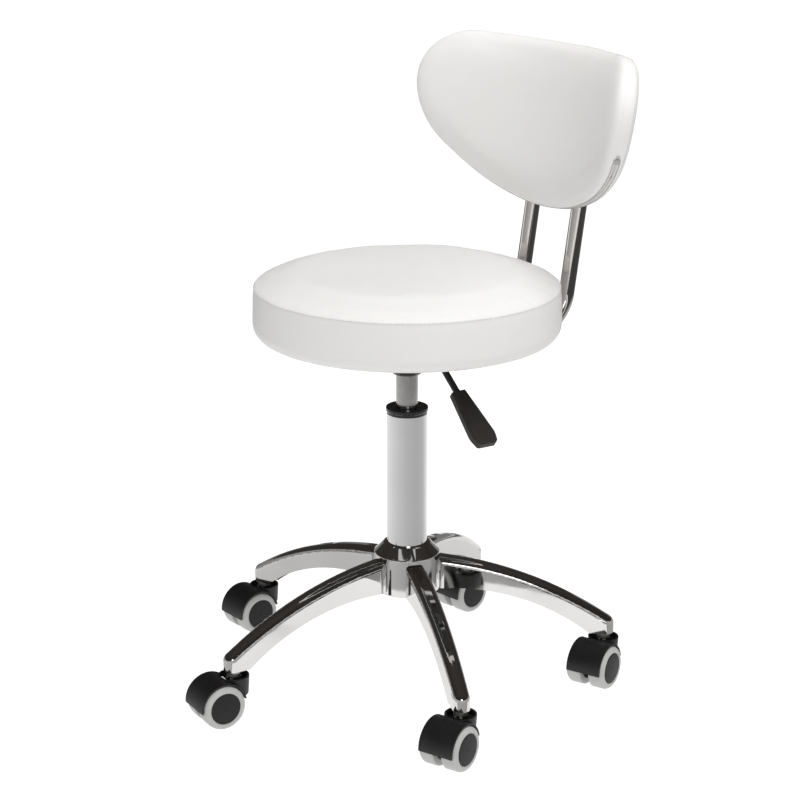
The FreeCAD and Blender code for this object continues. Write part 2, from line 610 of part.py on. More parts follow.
board_top = "board_bottom + board_thick"
board = turned_body("board_disc", [("0", "board_bottom"), ("board_radius", "board_bottom"),
                                   ("board_radius", board_top), ("0", board_top)])
keep(cut_from("seat_board", board, [plate_bolts]))
seat_pad = turned_body("seat_pad", [
    ("board_radius", "seat_bottom"), ("hem_inner", "hem_bottom"),
    ("seat_radius - seat_bottom_round", "hem_bottom", "seat_bottom_round", "left"),
    ("seat_radius", "hem_bottom + seat_bottom_round"), ("seat_radius - 0.6", "seam_height - 16"),
    ("seam_radius", "seam_height", "24", "left"),
    ("shoulder_radius", "shoulder_height", dome("shoulder_radius", "seat_top - shoulder_height"), "left"),
    ("0", "seat_top"), ("0", board_top), ("board_radius", board_top)])
dust = turned_body("dust_disc", [("0", "seat_bottom"), ("dust_radius", "seat_bottom"),
                                 ("dust_radius", "board_bottom"), ("0", "board_bottom")])
keep(cut_from("dust_cover", dust, [plate_bolts]))

# ---------------------------------------------------------------- backrest

def make_tube(label, side):
    """Bent tube: a run under the seat, one bend, and a leaning upright."""
    body = new_body(label + "_bent")
    lean, bend = "tube_lean", "tube_bend_radius"
    turn_end = ("tube_bend_start + %s * cos(%s)" % (bend, lean), "tube_height + %s - %s * sin(%s)" % (bend, bend, lean))
    top = (turn_end[0] + " + tube_rise * sin(%s)" % lean, turn_end[1] + " + tube_rise * cos(%s)" % lean)
    path = new_sketch(body, "YZ_Plane", path=[
        ("tube_front", "tube_height"), ("tube_bend_start", "tube_height", bend, "left"), turn_end, top])
    section = new_sketch(body, "XZ_Plane", "-tube_front", circles=[
        ("0", "tube_height", "tube_radius"), ("0", "tube_height", "tube_radius - tube_wall")])
    pipe = body.newObject("PartDesign::AdditivePipe", label + "_pipe")
    pipe.Profile = section
    pipe.Spine = (path, ["Edge1", "Edge2", "Edge3"])
    place(body, (side * value("tube_spacing") / 2, 0, 0))
    return cut_from(label, body, [back_screws])


def make_clamps(label):
    """Two pressed straps that hold both tubes up against the seat plate."""
    clamps = []
    gap = "(tube_radius + clamp_thick)"
    for start in ("clamp_first", "clamp_second"):
        body = new_body("clamp_strap")
        strap = [("-tube_spacing / 2 - %s" % gap, "plate_top - plate_thick"),
                 ("-tube_spacing / 2 - %s" % gap, "tube_height - tube_radius - clamp_thick"),
                 ("tube_spacing / 2 + %s" % gap, "tube_height - tube_radius - clamp_thick"),
                 ("tube_spacing / 2 + %s" % gap, "plate_top - plate_thick")]
        block = body.newObject("PartDesign::Pad", "clamp_block")
        block.Profile = new_sketch(body, "XZ_Plane", "-(%s)" % start, outlines=[strap])
        block.setExpression("Length", bound("clamp_width"))
        block.Reversed = True
        grooves = []
        for side in ("-tube_spacing / 2", "tube_spacing / 2"):
            grooves.append([("%s - tube_radius" % side, "tube_height", "tube_radius", "left"),
                            (side, "tube_height - tube_radius", "tube_radius", "left"),
                            ("%s + tube_radius" % side, "tube_height"),
                            ("%s + tube_radius" % side, "plate_top"), ("%s - tube_radius" % side, "plate_top")])
        middle = "tube_spacing / 2 - %s" % gap
        grooves.append([("-(%s)" % middle, "tube_height - tube_radius"), (middle, "tube_height - tube_radius"),
                        (middle, "plate_top"), ("-(%s)" % middle, "plate_top")])
        pocket(body, new_sketch(body, "XZ_Plane", outlines=grooves), "4 * plate_length")
        clamps.append(body)
    return group(label, clamps)


def back_outline(inset):
    """D outline seen from the front: crowned top, round corners, two arcs down each side."""
    half = "(back_half - %s)" % inset
    corner = "(back_corner - %s)" % inset
    side = "(back_side_radius - %s)" % inset
    low = "back_side_height"
    # The lower arc's radius, from its touching the side arc and passing the bottom point.
    deep = "(%s - %s)" % (low, inset)
    hang = "((({h} - {s}) ^ 2 + {d} ^ 2 - {s} ^ 2) / (2 * ({d} - {s})))".format(h=half, s=side, d=deep)
    # The point where the two arcs touch, on the line through both centres.
    part = "(%s / (%s - %s))" % (hang, hang, side)
    touch_x = "((%s - %s) * %s)" % (half, side, part)
    touch_y = "({i} + {g} + ({l} - {i} - {g}) * {p})".format(i=inset, g=hang, l=low, p=part)
    shoulder = "(back_height - back_crown - %s)" % inset
    corner_y = "(%s - %s)" % (shoulder, corner)
    crown = "(({h} - {c}) ^ 2 + back_crown ^ 2) / (2 * back_crown)".format(h=half, c=corner)
    return [("0", inset, hang, "left"), (touch_x, touch_y, side, "left"), (half, low), (half, corner_y, corner, "left"),
            ("%s - %s" % (half, corner), shoulder, crown, "left"), ("0", "back_height - %s" % inset, crown, "left"),
            ("%s - %s" % (corner, half), shoulder, corner, "left"), ("-" + half, corner_y), ("-" + half, low, side, "left"),
            ("-" + touch_x, touch_y, hang, "left")]


def make_curved_panel(label, inset, depth, thick, rim):
    """A D-shaped panel bent round a vertical cylinder in front of it, then leaned back."""
    body = new_body(label)
    pad(body, new_sketch(body, "XZ_Plane", outlines=[back_outline(inset)]), "2 * back_half", True)
    near = "back_curve + %s" % depth
    pocket(body, new_sketch(body, "XY_Plane", circles=[("0", "-back_curve", near)]), "4 * back_height")
    far = "back_curve + %s + %s" % (depth, thick)
    around = [("-2 * back_half", "-2 * back_half"), ("2 * back_half", "-2 * back_half"),
              ("2 * back_half", "2 * back_half"), ("-2 * back_half", "2 * back_half")]
    outside = new_sketch(body, "XY_Plane", outlines=[around], circles=[("0", "-back_curve", far)])
    panel = pocket(body, outside, "4 * back_height")
    if rim != "0":
        doc.recompute()
        centre = Vector(0, -value("back_curve"), 0)
        faces = (value(near), value(far))

        def on_rim(edge):
            middle = edge.valueAt((edge.FirstParameter + edge.LastParameter) / 2)
            reach = math.hypot(middle.x - centre.x, middle.y - centre.y)
            return min(abs(reach - radius) for radius in faces) < 0.01
        fillet(body, panel, edges_where(panel.Shape, on_rim), rim)
    lean = Rotation(Vector(1, 0, 0), -value("back_lean"))
    return place(body, (0, value("back_front"), value("back_bottom")), lean)


tubes = [keep(make_tube("backrest_tube_left", 1)), keep(make_tube("backrest_tube_right", -1))]
keep(cut_from("seat_cushion", seat_pad, tubes))
keep(make_clamps("tube_clamps"))
back_board = make_curved_panel("back_board_panel", "back_board_inset", "back_board_depth", "back_board_thick", "0")
board_part = keep(cut_from("backrest_board", back_board, [back_screws]))
back_pad = make_curved_panel("back_pad_panel", "0", "0", "back_thick", "back_rim")
keep(cut_from("backrest_cushion", back_pad, [back_board, back_screws] + tubes))

# ---------------------------------------------------------------- checks and files

doc.recompute()
faults = [o.Name for o in doc.Objects if "Invalid" in o.State or "Error" in o.State]
if faults:
    raise RuntimeError("features that failed: " + ", ".join(faults))
os.makedirs("parts", exist_ok=True)
for thing in parts:
    shape = thing.Shape
    if shape.isNull() or not shape.isValid() or not shape.Solids:
        raise RuntimeError("bad shape: " + thing.Label)
    shape.exportStep("parts/%s.step" % thing.Label)
print("parts written:", len(parts))
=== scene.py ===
import math

import bmesh
import bpy
import numpy as np
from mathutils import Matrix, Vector, noise
from mathutils.bvhtree import BVHTree


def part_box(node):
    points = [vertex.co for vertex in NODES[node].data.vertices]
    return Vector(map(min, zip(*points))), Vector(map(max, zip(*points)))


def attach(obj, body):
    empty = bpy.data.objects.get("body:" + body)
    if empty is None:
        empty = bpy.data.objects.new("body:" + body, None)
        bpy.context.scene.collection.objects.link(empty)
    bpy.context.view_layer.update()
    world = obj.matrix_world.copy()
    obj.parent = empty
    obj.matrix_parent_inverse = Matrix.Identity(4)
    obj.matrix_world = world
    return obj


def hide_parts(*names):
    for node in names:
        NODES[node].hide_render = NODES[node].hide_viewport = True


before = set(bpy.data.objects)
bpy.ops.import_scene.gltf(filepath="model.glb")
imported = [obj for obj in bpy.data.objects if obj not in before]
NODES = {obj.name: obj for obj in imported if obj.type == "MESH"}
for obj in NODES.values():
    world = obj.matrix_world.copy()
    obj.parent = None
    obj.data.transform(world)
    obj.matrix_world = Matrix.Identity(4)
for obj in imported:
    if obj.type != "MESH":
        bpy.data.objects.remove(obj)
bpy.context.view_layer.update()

TAU = 2 * math.pi

# Lengths are in metres, as in the frame.


# ---------------------------------------------------------------- material helpers

def shaded(color, factor):
    return tuple(min(1, c * factor) for c in color)


class Paint:
    """A Principled material whose nodes are added by short calls, in object coordinates."""

    def __init__(self, name, color, roughness, metallic=0.0, **sockets):
        self.material = bpy.data.materials.new(name)
        self.material.use_nodes = True
        self.tree = self.material.node_tree
        self.shader = self.tree.nodes["Principled BSDF"]
        self.material.diffuse_color = (*color, 1)
        self.set("Base Color", (*color, 1))
        self.set("Roughness", roughness)
        self.set("Metallic", metallic)
        for key, number in sockets.items():
            self.set(key.replace("_", " "), number)
        self.coordinates = self.tree.nodes.new("ShaderNodeTexCoord").outputs["Object"]

    def set(self, socket, value):
        if isinstance(value, bpy.types.NodeSocket):
            self.tree.links.new(value, self.shader.inputs[socket])
        else:
            self.shader.inputs[socket].default_value = value

    def node(self, kind, output=0, properties=None, **inputs):
        """Adds a node and gives its output. An input is named, or numbered as in _0."""
        made = self.tree.nodes.new("ShaderNode" + kind)
        for key, value in (properties or {}).items():
            setattr(made, key, value)
        for key, value in inputs.items():
            socket = made.inputs[int(key[1:]) if key[0] == "_" else key.replace("_", " ")]
            if isinstance(value, bpy.types.NodeSocket):
                self.tree.links.new(value, socket)
            else:
                socket.default_value = value
        return made.outputs[output]

    def stretched(self, scale):
        return self.node("Mapping", Vector=self.coordinates, Scale=scale)

    def noise(self, scale, detail=3.0, roughness=0.55, vector=None, distortion=0.0):
        return self.node("TexNoise", "Fac", Vector=vector or self.coordinates, Scale=scale,
                         Detail=detail, Roughness=roughness, Distortion=distortion)

    def cells(self, scale, vector=None, feature="F1"):
        return self.node("TexVoronoi", "Distance", {"feature": feature},
                         Vector=vector or self.coordinates, Scale=scale)

    def bands(self, direction, scale, distortion):
        return self.node("TexWave", "Fac", {"wave_type": "BANDS", "bands_direction": direction},
                         Vector=self.coordinates, Scale=scale, Distortion=distortion)

    def ramp(self, value, low, high, start=0.0, end=1.0):
        """The value taken from the span low..high to the span start..end."""
        return self.node("MapRange", 0, Value=value, From_Min=low, From_Max=high,
                         To_Min=start, To_Max=end)

    def blend(self, factor, first, second):
        """Two colours, each a tuple or a socket, mixed by the factor."""
        ends = [(*end, 1) if isinstance(end, tuple) else end for end in (first, second)]
        return self.node("Mix", 2, {"data_type": "RGBA"}, _0=factor, _6=ends[0], _7=ends[1])

    def math(self, operation, first, second=0.0):
        return self.node("Math", 0, {"operation": operation}, _0=first, _1=second)

    def bump(self, height, distance, strength=1.0, normal=None):
        extra = {"Normal": normal} if normal else {}
        self.set("Normal", self.node("Bump", 0, Height=height, Distance=distance,
                                     Strength=strength, **extra))


def make_chrome(name, color, low, high, ripple):
    """Plated steel: a clear mirror with faint waviness, thin wipe marks and a few dull spots."""
    p = Paint(name, color, low, 1.0)
    wipes = p.noise(60, 4, 0.6, p.stretched((1, 1, 0.25)))
    dull = p.noise(9, 3, 0.5)
    p.set("Roughness", p.ramp(p.math("MULTIPLY", wipes, dull), 0.12, 0.45, low, high))
    p.set("Base Color", p.blend(p.ramp(dull, 0.35, 0.7), color, shaded(color, 0.93)))
    p.bump(p.noise(14, 2, 0.4), ripple)
    return p.material


def make_steel(name, color, roughness, lines):
    """Ground or plated steel with fine marks round the vertical axis."""
    p = Paint(name, color, roughness, 1.0)
    rings = p.noise(lines, 3, 0.7, p.stretched((0.12, 0.12, 1)))
    blotch = p.noise(45, 4, 0.6)
    p.set("Roughness", p.ramp(rings, 0.3, 0.7, roughness * 0.8, min(1, roughness * 1.25)))
    p.set("Base Color", p.blend(p.ramp(blotch, 0.3, 0.75), color, shaded(color, 0.8)))
    p.bump(rings, 0.00001)
    return p.material


def make_plastic(name, color, roughness, grain, depth, worn=1.35, **sockets):
    """Moulded plastic: a fine eroded grain, and slow changes of gloss and shade."""
    p = Paint(name, color, roughness, 0.0, **sockets)
    fine = p.noise(grain, 2, 0.6)
    slow = p.noise(38, 4, 0.6)
    uneven = p.math("ADD", p.math("MULTIPLY", fine, 0.4), p.math("MULTIPLY", slow, 0.6))
    p.set("Roughness", p.ramp(uneven, 0.3, 0.7, roughness * 0.85, min(1, roughness * 1.2)))
    p.set("Base Color", p.blend(p.ramp(slow, 0.35, 0.8), color, shaded(color, worn)))
    p.bump(fine, depth)
    return p.material


def make_leatherette(name, color, warm):
    """White vinyl with a fine pebbled grain, faint creases and a slow drift of warmth and gloss."""
    p = Paint(name, color, 0.42, 0.0, Specular_IOR_Level=0.5, Sheen_Weight=0.06,
              Sheen_Roughness=0.4, Subsurface_Weight=0.06, Subsurface_Scale=0.01)
    wander = p.noise(700, 2, 0.5)
    jitter = p.node("TexNoise", "Color", Vector=p.coordinates, Scale=500.0)
    shifted = p.node("Mix", 1, {"data_type": "VECTOR"}, _0=0.0015, _4=p.coordinates, _5=jitter)
    pebbles = p.ramp(p.cells(1100.0, shifted, "DISTANCE_TO_EDGE"), 0.0, 0.35)
    creases = p.noise(55, 5, 0.65, distortion=0.6)
    slow = p.noise(6, 3, 0.5)
    p.set("Base Color", p.blend(p.ramp(slow, 0.35, 0.7), color, warm))
    uneven = p.math("ADD", creases, p.math("MULTIPLY", wander, 0.3))
    p.set("Roughness", p.ramp(uneven, 0.4, 0.9, 0.36, 0.5))
    broad = p.node("Bump", 0, Height=creases, Distance=0.00035, Strength=0.5)
    p.bump(pebbles, 0.00006, 0.8, broad)
    return p.material


def make_thread(name, color):
    """Twisted sewing thread."""
    p = Paint(name, color, 0.6, 0.0, Sheen_Weight=0.2)
    twist = p.bands("DIAGONAL", 900.0, 0.6)
    p.set("Base Color", p.blend(twist, shaded(color, 0.82), color))
    p.bump(twist, 0.00008)
    return p.material


def make_wood(name):
    """Birch plywood: pale face veneer with long grain, darker glue lines through the edge."""
    p = Paint(name, (0.66, 0.52, 0.36), 0.6)
    grain = p.noise(26, 6, 0.65, p.stretched((6, 0.5, 1)), 0.8)
    layers = p.bands("Z", 150.0, 0.3)
    face = p.blend(p.ramp(grain, 0.3, 0.7), (0.70, 0.56, 0.38), (0.52, 0.37, 0.22))
    glue = p.ramp(layers, 0.82, 0.95, 0.0, 0.7)
    p.set("Base Color", p.blend(glue, face, (0.30, 0.20, 0.12)))
    p.set("Roughness", p.ramp(grain, 0.3, 0.7, 0.5, 0.7))
    p.bump(grain, 0.0002)
    return p.material


def make_cloth(name, color):
    """Non-woven dust cloth: short matted fibres and a scatter of pressed dots."""
    p = Paint(name, color, 0.9, 0.0, Sheen_Weight=0.3)
    fibres = p.noise(900, 3, 0.7, p.stretched((1, 2.5, 1)), 1.5)
    dots = p.ramp(p.cells(420), 0.1, 0.4, 0.0, 0.6)
    p.set("Base Color", p.blend(p.ramp(fibres, 0.35, 0.7), color, shaded(color, 2.4)))
    p.bump(p.math("ADD", p.math("MULTIPLY", fibres, 0.5), dots), 0.0002)
    return p.material


# Chrome: colour, least and most roughness, depth of its ripple.
CHROME = make_chrome("chrome", (0.66, 0.65, 0.64), 0.03, 0.09, 0.00012)
# The backrest tubes' chrome is darker and browner than the base's: painted reflection of the dark
# brown surroundings that the tubes mirror.
SHADED_TUBE_CHROME = make_chrome("tube_chrome_painted_dark", (0.58, 0.55, 0.525), 0.03, 0.08, 0.00010)
COLUMN_CHROME = make_chrome("column_chrome", (0.80, 0.80, 0.80), 0.06, 0.13, 0.00008)
# Steel: colour, roughness, lines per metre.
STEEL = make_steel("bright_steel", (0.56, 0.55, 0.54), 0.22, 260)
ZINC = make_steel("zinc_steel", (0.55, 0.55, 0.53), 0.38, 500)
# Plastic, paint and rubber: colour, roughness, scale and depth of the grain, shade where worn.
ENAMEL = make_plastic("black_enamel", (0.022, 0.022, 0.022), 0.38, 700, 0.00004, 1.5)
GLOSS_BLACK = make_plastic("gloss_black", (0.012, 0.012, 0.012), 0.13, 500, 0.00001, 1.4)
BLACK = make_plastic("black_plastic", (0.008, 0.008, 0.008), 0.50, 1300, 0.00005, 1.7,
                     Specular_IOR_Level=0.28)
HANDLE = make_plastic("handle_plastic", (0.026, 0.022, 0.020), 0.42, 1100, 0.00005, 1.6,
                      Specular_IOR_Level=0.35)
HOOD = make_plastic("hood_plastic", (0.010, 0.0095, 0.0095), 0.46, 1500, 0.00007, 1.7,
                    Specular_IOR_Level=0.36)
TREAD = make_plastic("tread", (0.50, 0.50, 0.485), 0.5, 900, 0.00004, 0.9)
RUBBER = make_plastic("rubber", (0.02, 0.02, 0.02), 0.7, 600, 0.00008, 1.6)
ZIP = make_plastic("zipper_nylon", (0.42, 0.40, 0.38), 0.4, 900, 0.00003, 0.9)
LEATHER = make_leatherette("upholstery", (0.80, 0.795, 0.79), (0.80, 0.785, 0.765))
THREAD = make_thread("thread", (0.70, 0.69, 0.68))
# Darker grey-brown for the zipper's folded lips: painted shade of the grooves at the folds beside
# the coil.
ZIP_LIP_SHADE = make_thread("zipper_tape", (0.50, 0.47, 0.45))
WOOD = make_wood("plywood")
CLOTH = make_cloth("black_fabric", (0.012, 0.012, 0.012))

# The material of each CAD node, by the start of its name.
FINISH = {"base_arms": CHROME, "base_hub": CHROME, "backrest_tube": SHADED_TUBE_CHROME,
          "column_tube": COLUMN_CHROME, "caster_sockets": ZINC, "plate_bolts": ZINC,
          "backrest_screws": ZINC, "lever_pin": ZINC, "pressure_tube": STEEL,
          "piston_rod": STEEL, "retaining_clip": STEEL, "thrust_bearing": STEEL,
          "release_button": STEEL, "lever_rod": ENAMEL, "seat_plate": ENAMEL,
          "tube_clamps": ENAMEL, "guide_bush": GLOSS_BLACK, "lever_handle": HANDLE,
          "bump_stop": RUBBER, "seat_board": WOOD, "backrest_board": WOOD, "dust_cover": CLOTH,
          "seat_cushion": LEATHER, "backrest_cushion": LEATHER}
# The material of a caster's part, by the word after the caster's number.
CASTER_FINISH = {"stem": STEEL, "axle": STEEL, "hood": HOOD, "wheel": BLACK, "tread": TREAD}


def finish_of(name):
    words = name.split("_")
    if words[0] == "caster" and words[1].isdigit():
        return CASTER_FINISH[words[2]]
    return next(material for start, material in FINISH.items() if name.startswith(start))


for name, thing in NODES.items():
    thing.data.materials.clear()
    thing.data.materials.append(finish_of(name))


# ---------------------------------------------------------------- mesh helpers

def bell(distance, width):
    return math.exp(-(distance / width) ** 2)


def on_circle(turn, radius, height):
    return Vector((radius * math.cos(turn), radius * math.sin(turn), height))


def new_object(name, vertices, faces, material):
    mesh = bpy.data.meshes.new(name)
    mesh.from_pydata([tuple(v) for v in vertices], [], faces)
    mesh.validate()
    mesh.materials.append(material)
    mesh.shade_smooth()
    made = bpy.data.objects.new(name, mesh)
    bpy.context.scene.collection.objects.link(made)
    return made


def side_faces(first, rows, count):
    """Quads between rows of points that run round, from the first point's number."""
    return [(first + k * count + i, first + k * count + (i + 1) % count,
             first + (k + 1) * count + (i + 1) % count, first + (k + 1) * count + i)
            for k in range(rows - 1) for i in range(count)]


def shell(name, rings, material):
    """A closed skin from a stack of equal rings of points.

    The middle point of the first ring is the last vertex but one, and the other end's is the last.
    """
    rows, count = len(rings), len(rings[0])
    first, last = np.mean(rings[0], axis=0), np.mean(rings[-1], axis=0)
    vertices = [p for ring in rings for p in ring] + [first, last]
    faces = side_faces(0, rows, count)
    top, end = rows * count, (rows - 1) * count
    for i in range(count):
        j = (i + 1) % count
        faces.append((top, j, i))
        faces.append((end + i, end + j, top + 1))
    made = new_object(name, vertices, faces, material)
    turned = bmesh.new()
    turned.from_mesh(made.data)
    bmesh.ops.recalc_face_normals(turned, faces=turned.faces)
    turned.to_mesh(made.data)
    turned.free()
    return made


def points_of(made):
    found = np.empty(len(made.data.vertices) * 3)
    made.data.vertices.foreach_get("co", found)
    return found.reshape(-1, 3)


def set_points(made, points):
    made.data.vertices.foreach_set("co", np.asarray(points).ravel())
    made.data.update()


def apply_modifiers(made):
    graph = bpy.context.evaluated_depsgraph_get()
    mesh = bpy.data.meshes.new_from_object(made.evaluated_get(graph))
    made.modifiers.clear()
    made.data = mesh


def subdivide(made, levels):
    finer = made.modifiers.new("finer", "SUBSURF")
    finer.levels = finer.render_levels = levels
    apply_modifiers(made)
    made.data.shade_smooth()


def reshape(made, move):
    """Moves each point along its normal by what the function gives for its place."""
    points = points_of(made)
    normals = np.array([v.normal for v in made.data.vertices])
    shift = np.array([move(p, n) for p, n in zip(points, normals)])
    set_points(made, points + normals * shift[:, None])


def skin_of(made):
    return BVHTree.FromPolygons([v.co.copy() for v in made.data.vertices],
                                [tuple(p.vertices) for p in made.data.polygons])


def laid_on(skin, line, lift=0.0002):
    """The nearest place on a skin to each point of a line, lifted a little, and its normal."""
    found = []
    for p in line:
        spot, normal, _, _ = skin.find_nearest(p)
        found.append((spot + normal * lift, normal))
    return found


def puff(made, pinned, pressure, cap, frames=20):
    """Cloth with air pressure inside. Pinned points stay, and no point moves more than the cap.

    Gives the points as they were, and how far each one moved.
    """
    start = points_of(made)
    group = made.vertex_groups.new(name="pinned")
    group.add(pinned, 1.0, "REPLACE")
    cloth = made.modifiers.new("Cloth", "CLOTH")
    settings = cloth.settings
    settings.quality = 6
    settings.mass = 0.3
    settings.tension_stiffness = settings.compression_stiffness = 25
    settings.shear_stiffness = 12
    settings.bending_stiffness = 1.5
    settings.use_pressure = True
    settings.uniform_pressure_force = pressure
    settings.vertex_group_mass = "pinned"
    settings.effector_weights.gravity = 0
    cloth.collision_settings.use_collision = False
    cloth.point_cache.frame_start, cloth.point_cache.frame_end = 1, frames
    scene = bpy.context.scene
    for frame_number in range(1, frames + 1):
        scene.frame_set(frame_number)
    apply_modifiers(made)
    made.vertex_groups.clear()
    moved = points_of(made) - start
    length = np.linalg.norm(moved, axis=1, keepdims=True)
    set_points(made, start + moved * np.minimum(1, cap / np.maximum(length, 1e-9)))
    scene.frame_set(1)
    return start, points_of(made) - start


def even_out(rows, rounds):
    """Softens the wrinkles in rows of moves that run round a cushion."""
    for _ in range(rounds):
        rows[:] = rows * 0.5 + (np.roll(rows, 1, 1) + np.roll(rows, -1, 1)) * 0.25


def tubes_along(name, paths, radius, material, sides=6):
    """Round strands, one for each path of points, closed and drawn in at both ends."""
    drawn_in = 0.45
    vertices, faces = [], []
    for path in paths:
        base, last = len(vertices), len(path) - 1
        for k, point in enumerate(path):
            ahead = (path[min(k + 1, last)] - path[max(k - 1, 0)]).normalized()
            side = ahead.orthogonal().normalized()
            up = ahead.cross(side)
            width = radius * (drawn_in if k in (0, last) else 1.0)
            for i in range(sides):
                a = TAU * i / sides
                vertices.append(point + (side * math.cos(a) + up * math.sin(a)) * width)
        faces += side_faces(base, len(path), sides)
        faces.append(tuple(base + i for i in reversed(range(sides))))
        faces.append(tuple(base + last * sides + i for i in range(sides)))
    return new_object(name, vertices, faces, material)


STITCH_PITCH, STITCH_LENGTH = 0.0048, 0.0037


def stitches(name, line, skin, radius):
    """Lockstitches laid on a skin along a line of points near it, each end sunk into the skin."""
    arch = ((0, -0.6), (0.15, 0.45), (0.5, 0.7), (0.85, 0.45), (1, -0.6))
    reach = [0.0]
    for a, b in zip(line, line[1:]):
        reach.append(reach[-1] + (b - a).length)

    def at(distance):
        k = min(max(np.searchsorted(reach, distance) - 1, 0), len(line) - 2)
        part = (distance - reach[k]) / max(reach[k + 1] - reach[k], 1e-9)
        spot, normal, _, _ = skin.find_nearest(line[k].lerp(line[k + 1], part))
        return spot, normal
    paths = []
    for number in range(int(reach[-1] / STITCH_PITCH)):
        path = []
        for part, height in arch:
            spot, normal = at(number * STITCH_PITCH + part * STITCH_LENGTH)
            path.append(spot + normal * radius * height)
        paths.append(path)
    return tubes_along(name, paths, radius, THREAD)


# ---------------------------------------------------------------- seat

# A top panel with a soft shoulder, a seam, and a side band that wraps under the board.

SEAM = (0.1830, 0.5080)              # radius and height of the seam
SEAM_RIDGE = 0.0024                  # from the seam to the soft ridge above and below it
STITCH_DROP = 0.0022                 # from the seam down to its stitches
BAND_FOOT = 0.4630                   # the side band's soft unevenness ends here
HEM_TOP = 0.4485                     # the gathered hem lies below this height
HEM_NEAR, HEM_FAR = 0.158, 0.1675    # and between these radii
HEM_ROWS = 7                         # rows of the profile that the board holds
# Places from which the two sizes of pucker along the seam are read.
COARSE, FINE = [Vector((math.cos(a), math.sin(a), 0)) * 1.7 for a in (0.3, 1.9)]

TUBE_RADIUS = 0.0095
TUBE_SIDE = 0.047                    # from the stool's middle to each backrest tube
TUBE_LEAN = math.radians(8.5)


def seat_profile():
    """(radius, height) from the middle of the top, over the shoulder and seam, to the board."""
    crown, edge, flat = 0.5235, 0.5195, 0.165
    round_radius, round_height, bend = 0.1690, 0.4620, 0.0172
    radii = [0.006 + 0.159 * (k / 15) ** 0.9 for k in range(16)]
    points = [(r, crown - (crown - edge) * (r / flat) ** 4) for r in radii]
    points += [(0.1702, 0.5181), (0.1745, 0.5160), (0.1785, 0.5129), (0.1812, 0.5100), SEAM]
    points += [(0.1838, 0.5060), (0.1849, 0.5000)]
    points += [(0.1853 + 0.0002 * k, 0.4930 - 0.0075 * k) for k in range(4)]
    for k in range(7):
        a = math.radians(15 * k)
        points.append((round_radius + bend * math.cos(a), round_height - bend * math.sin(a)))
    points += [(0.1652, 0.4458), (0.1612, 0.4472), (0.1606, 0.4477), (0.1652, 0.4483),
               (0.1655, 0.4606), (0.02, 0.4607)]
    return points


def seat_shift(p, n):
    """How far a point of the seat's cover goes out: seam groove, puckers, hollows and gathers."""
    r, a, z = math.hypot(p[0], p[1]), math.atan2(p[1], p[0]), p[2]
    if z < HEM_TOP and HEM_NEAR < r < HEM_FAR:
        gathers = math.sin(70 * a + 3 * noise.noise(Vector((p[0], p[1], 0)) * 9))
        return 0.0004 * gathers * min(1, (HEM_FAR - r) / 0.003)
    if z < BAND_FOOT:
        return 0.0
    ring = Vector((math.cos(a), math.sin(a), 0))
    # The height above the seam. The middle of the top is out of its reach.
    gap = (z - SEAM[1]) if r > 0.16 else 1.0
    shift = -0.0003 * bell(gap, 0.0009)
    shift += 0.0003 * bell(gap + SEAM_RIDGE, 0.0016) + 0.0002 * bell(gap - SEAM_RIDGE, 0.0016)
    pucker = noise.noise(ring * 16 + COARSE) + 0.6 * noise.noise(ring * 30 + FINE)
    shift += 0.00055 * pucker * math.exp(-abs(gap) / 0.011)
    if n[2] > 0.4:
        hollow = noise.noise(Vector((p[0] * 9, p[1] * 9, 0.7)))
        hollow += 0.5 * noise.noise(Vector((p[0] * 22, p[1] * 14, 3.1)))
        shift += 0.0011 * hollow * min(1, (0.178 - min(r, 0.178)) / 0.03)
    else:
        shift += 0.0005 * noise.noise(Vector((ring.x * 5, ring.y * 5, z * 12)))
    return shift


def make_seat():
    profile = seat_profile()
    rows, count = len(profile), 144
    rings = [[on_circle(TAU * i / count, r, z) for i in range(count)] for r, z in profile]
    seat = shell("seat_cover", rings, LEATHER)
    seam_row = profile.index(SEAM)
    held = [seam_row * count + i for i in range(count)]
    held += [*range((rows - HEM_ROWS) * count, rows * count), rows * count + 1]
    before, shift = puff(seat, held, pressure=4.0, cap=0.0035)
    even_out(shift[:rows * count].reshape(rows, count, 3), 8)
    set_points(seat, before + shift)
    subdivide(seat, 2)
    reshape(seat, seat_shift)
    make_room_for_tubes(seat)
    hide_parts("seat_cushion")
    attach(seat, "seat")
    steps, outside = 240, 0.19
    line = [on_circle(TAU * k / steps, outside, SEAM[1] - STITCH_DROP) for k in range(steps + 1)]
    thread = stitches("seat_stitching", line, skin_of(seat), 0.00036)
    add_staples()
    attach(thread, "seat")


def make_room_for_tubes(seat):
    """Presses the rear hem of the cover up where the backrest tubes bend past it."""
    # A tube's bend: its radius, the height of the level run, and where that run ends.
    bend, height, reach = 0.050, 0.435, 0.154
    clear = 0.0101                   # from a tube's middle line to the cover
    points = points_of(seat)
    for k, (x, y, z) in enumerate(points):
        if z > 0.475 or y < 0.125 or not 0.030 < abs(x) < 0.064:
            continue
        across = x - math.copysign(TUBE_SIDE, x)
        if y > reach:
            arm = math.hypot(y - reach, z - height - bend)
            off = Vector((across, (y - reach) / arm * (arm - bend),
                          (z - height - bend) / arm * (arm - bend)))
        else:
            off = Vector((across, 0, z - height))
        if off.length < clear:
            points[k] += np.array(off.normalized() * (clear - off.length))
    set_points(seat, points)


